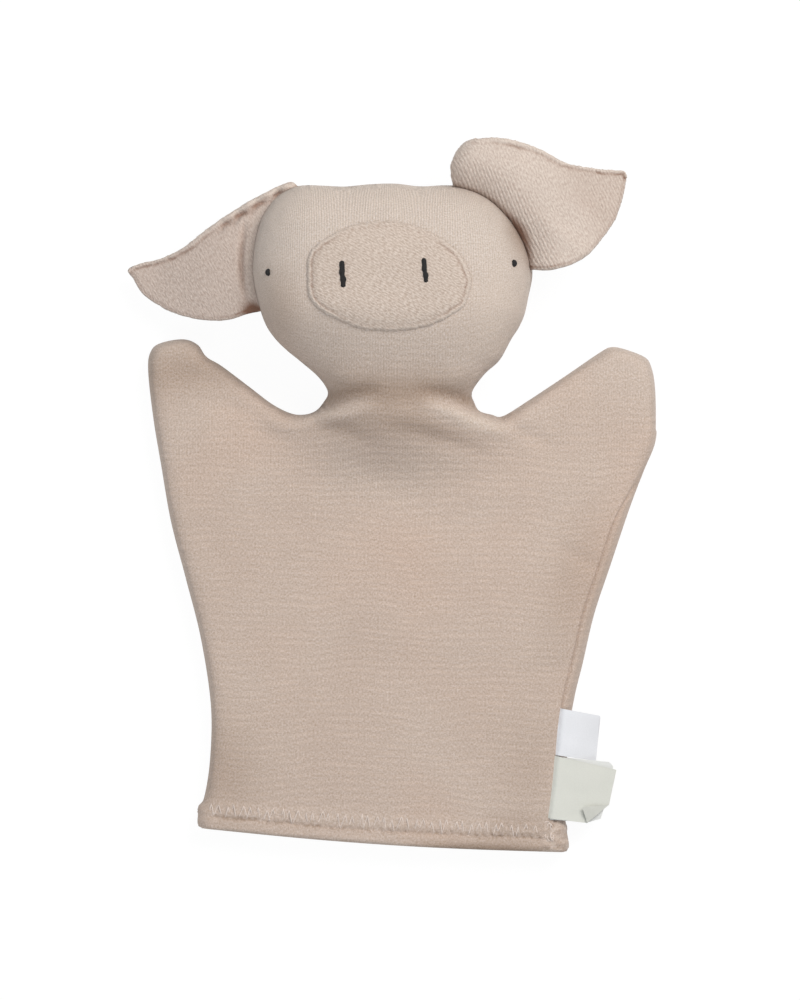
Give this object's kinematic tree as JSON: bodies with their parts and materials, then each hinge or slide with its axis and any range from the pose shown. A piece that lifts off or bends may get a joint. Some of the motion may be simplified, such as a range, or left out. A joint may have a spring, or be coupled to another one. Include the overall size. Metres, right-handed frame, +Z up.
{
  "type": "glove puppet",
  "caption": "Soft pig-head glove puppet of cotton jersey, open at the hem for a hand, with stuffed head, finger pocket, bending arms and neck, floppy ears and side labels.",
  "frame": {"origin": "on the table under the centre of the puppet's outline, puppet lying on its back", "axes": "+Y from the hem to the head, +X to the right as seen from above, +Z up out of the face"},
  "size_m": [0.2005, 0.2704, 0.0541],
  "materials": {
    "jersey": "brushed cotton jersey, matt",
    "terry": "loop-back terry, matt",
    "thread": "embroidery thread, slight sheen",
    "white_tape": "satin tape",
    "cream_tape": "cotton tape, matt",
    "fibre_fill": "loose fibre",
    "lining": "cotton jersey, matt"
  },
  "bodies": {
    "glove": {"front_panel": "jersey", "back_panel": "jersey", "hem_front": "jersey", "hem_back": "jersey", "seam_left": "jersey", "seam_right": "jersey", "shoulder_left_front": "jersey", "shoulder_left_back": "jersey", "shoulder_right_front": "jersey", "shoulder_right_back": "jersey"},
    "neck": {"neck_front": "jersey", "neck_back": "jersey"},
    "head": {"head_front": "jersey", "head_back": "jersey", "head_stuffing": "fibre_fill", "finger_pocket": "lining", "snout_patch": "terry", "nostril_left": "thread", "nostril_right": "thread", "eye_left": "thread", "eye_right": "thread", "ear_left_root": "terry", "ear_right_root": "terry"},
    "arm_left": {"arm_left_front": "jersey", "arm_left_back": "jersey"},
    "arm_right": {"arm_right_front": "jersey", "arm_right_back": "jersey"},
    "ear_left": {"ear_left_front": "terry", "ear_left_back": "terry"},
    "ear_right": {"ear_right_front": "terry", "ear_right_back": "terry"},
    "care_label": {"care_label": "white_tape"},
    "loop_label": {"loop_label": "cream_tape"}
  },
  "joints": [
    {"name": "head_nod", "type": "hinge", "parent": "glove", "child": "neck", "pos_m": [0.00285, 0.0395, 0.02017], "axis": [1, 0, 0], "range_deg": [-20, 40], "deforming": ["neck_front", "neck_back"]},
    {"name": "head_tilt", "type": "hinge", "parent": "neck", "child": "head", "pos_m": [0.00285, 0.0395, 0.02017], "axis": [0, 0, 1], "range_deg": [-16, 16], "deforming": ["neck_front", "neck_back"]},
    {"name": "arm_left_lift", "type": "hinge", "parent": "glove", "child": "arm_left", "pos_m": [-0.05943, 0.01132, 0.01258], "axis": [0.763, 0.6402, 0.0892], "range_deg": [-15, 95], "deforming": ["shoulder_left_front", "shoulder_left_back"]},
    {"name": "arm_right_lift", "type": "hinge", "parent": "glove", "child": "arm_right", "pos_m": [0.06372, 0.01099, 0.01276], "axis": [0.7626, -0.6399, -0.0952], "range_deg": [-15, 95], "deforming": ["shoulder_right_front", "shoulder_right_back"]},
    {"name": "ear_left_flop", "type": "hinge", "parent": "head", "child": "ear_left", "pos_m": [-0.05561, 0.10051, 0.02309], "axis": [0.3372, 0.9414, 0], "range_deg": [-20, 80], "deforming": ["ear_left_root"]},
    {"name": "ear_right_flop", "type": "hinge", "parent": "head", "child": "ear_right", "pos_m": [0.0468, 0.10927, 0.0395], "axis": [0.6764, -0.7365, 0], "range_deg": [-45, 60], "deforming": ["ear_right_root"]},
    {"name": "care_label_swing", "type": "hinge", "parent": "glove", "child": "care_label", "pos_m": [0.06327, -0.0905, 0.01319], "axis": [-0.0972, -0.9953, 0], "range_deg": [-10, 140]},
    {"name": "loop_label_swing", "type": "hinge", "parent": "glove", "child": "loop_label", "pos_m": [0.06201, -0.1105, 0.01319], "axis": [-0.0346, -0.9994, 0], "range_deg": [-10, 140]}
  ]
}
